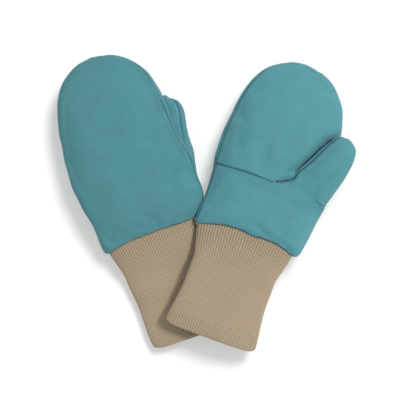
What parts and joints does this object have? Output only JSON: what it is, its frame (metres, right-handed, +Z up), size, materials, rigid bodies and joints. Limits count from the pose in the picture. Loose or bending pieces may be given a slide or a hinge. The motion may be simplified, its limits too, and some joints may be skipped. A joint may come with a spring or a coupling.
{
  "type": "cryogenic gloves",
  "caption": "Pair of padded three-panel mittens with rib-knit cuffs, one palm up and one palm down, cuffs crossed.",
  "frame": {"origin": "middle of the pair's outline, at the height of the bench it lies on", "axes": "+Z up from the bench, +Y toward the finger ends, +X from the left mitten toward the right mitten"},
  "size_m": [0.3098, 0.3026, 0.04],
  "materials": {
    "shell": "teal coated woven cloth",
    "batting": "white fibre wadding",
    "lining": "off-white fleece",
    "rib_knit": "beige one by one rib knit",
    "thread": "dark teal sewing thread"
  },
  "bodies": {
    "left_hand": {"left_back_shell": "shell", "left_finger_palm_shell": "shell", "left_heel_shell": "shell", "left_back_batting": "batting", "left_finger_palm_batting": "batting", "left_heel_batting": "batting", "left_back_lining": "lining", "left_finger_palm_lining": "lining", "left_heel_lining": "lining", "left_cuff": "rib_knit", "left_wrist_thread": "thread", "left_palm_thread": "thread"},
    "left_finger_end": {"left_back_tip_shell": "shell", "left_palm_tip_shell": "shell", "left_back_tip_batting": "batting", "left_palm_tip_batting": "batting", "left_back_tip_lining": "lining", "left_palm_tip_lining": "lining"},
    "left_thumb": {"left_thumb_front_shell": "shell", "left_thumb_back_shell": "shell", "left_thumb_front_batting": "batting", "left_thumb_back_batting": "batting", "left_thumb_front_lining": "lining", "left_thumb_back_lining": "lining"},
    "right_hand": {"right_back_shell": "shell", "right_finger_palm_shell": "shell", "right_heel_shell": "shell", "right_back_batting": "batting", "right_finger_palm_batting": "batting", "right_heel_batting": "batting", "right_back_lining": "lining", "right_finger_palm_lining": "lining", "right_heel_lining": "lining", "right_cuff": "rib_knit", "right_wrist_thread": "thread", "right_palm_thread": "thread"},
    "right_finger_end": {"right_back_tip_shell": "shell", "right_palm_tip_shell": "shell", "right_back_tip_batting": "batting", "right_palm_tip_batting": "batting", "right_back_tip_lining": "lining", "right_palm_tip_lining": "lining"},
    "right_thumb": {"right_thumb_front_shell": "shell", "right_thumb_back_shell": "shell", "right_thumb_front_batting": "batting", "right_thumb_back_batting": "batting", "right_thumb_front_lining": "lining", "right_thumb_back_lining": "lining"}
  },
  "joints": [
    {"name": "left_finger_curl", "type": "hinge", "parent": "left_hand", "child": "left_finger_end", "pos_m": [-0.10286, 0.09813, 0.04], "axis": [0.9455, 0.3256, 0], "range_deg": [0, 60]},
    {"name": "left_thumb_swing", "type": "hinge", "parent": "left_hand", "child": "left_thumb", "pos_m": [-0.03888, 0.04285, 0.014], "axis": [0, 0, -1], "range_deg": [0, 25]},
    {"name": "right_mitten_lift", "type": "slide", "parent": "left_hand", "child": "right_hand", "axis": [0, 0, 1], "range_m": [0, 0.12]},
    {"name": "right_finger_curl", "type": "hinge", "parent": "right_hand", "child": "right_finger_end", "pos_m": [0.08729, 0.09472, 0.04], "axis": [0.9397, -0.342, 0], "range_deg": [0, 60]},
    {"name": "right_thumb_swing", "type": "hinge", "parent": "right_hand", "child": "right_thumb", "pos_m": [0.10223, 0.01149, 0.026], "axis": [0, 0, -1], "range_deg": [0, 25]}
  ]
}
